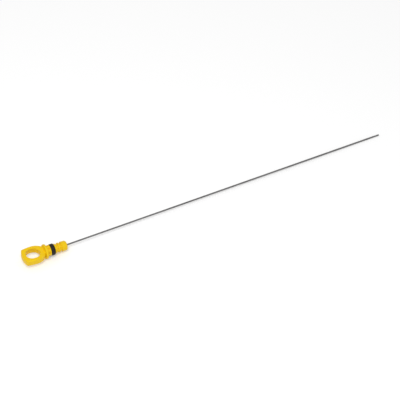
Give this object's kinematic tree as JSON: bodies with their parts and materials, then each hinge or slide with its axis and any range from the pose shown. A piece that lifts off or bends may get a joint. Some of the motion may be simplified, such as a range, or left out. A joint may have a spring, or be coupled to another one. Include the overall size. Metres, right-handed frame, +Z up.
{
  "type": "engine oil dipstick",
  "caption": "Oil dipstick with a moulded finger-loop handle, a black sealing ring on its ribbed plug and a long thin gauge rod with level notches.",
  "frame": {"origin": "centre of the stop face, where the neck leaves the stop collar", "axes": "+X along the handle and the rod to its tip, as the part lies at rest: the handle dips by about four degrees towards its nose and the rod by one degree towards its tip, +Y across the finger loop, +Z up"},
  "size_m": [0.4877, 0.0234, 0.0185],
  "materials": {
    "handle_plastic": "satin moulded plastic",
    "seal_rubber": "smooth rubber",
    "rod_steel": "drawn wire, dark satin"
  },
  "bodies": {
    "root": {"handle": "handle_plastic", "sealing_ring": "seal_rubber", "rod": "rod_steel"}
  },
  "joints": []
}
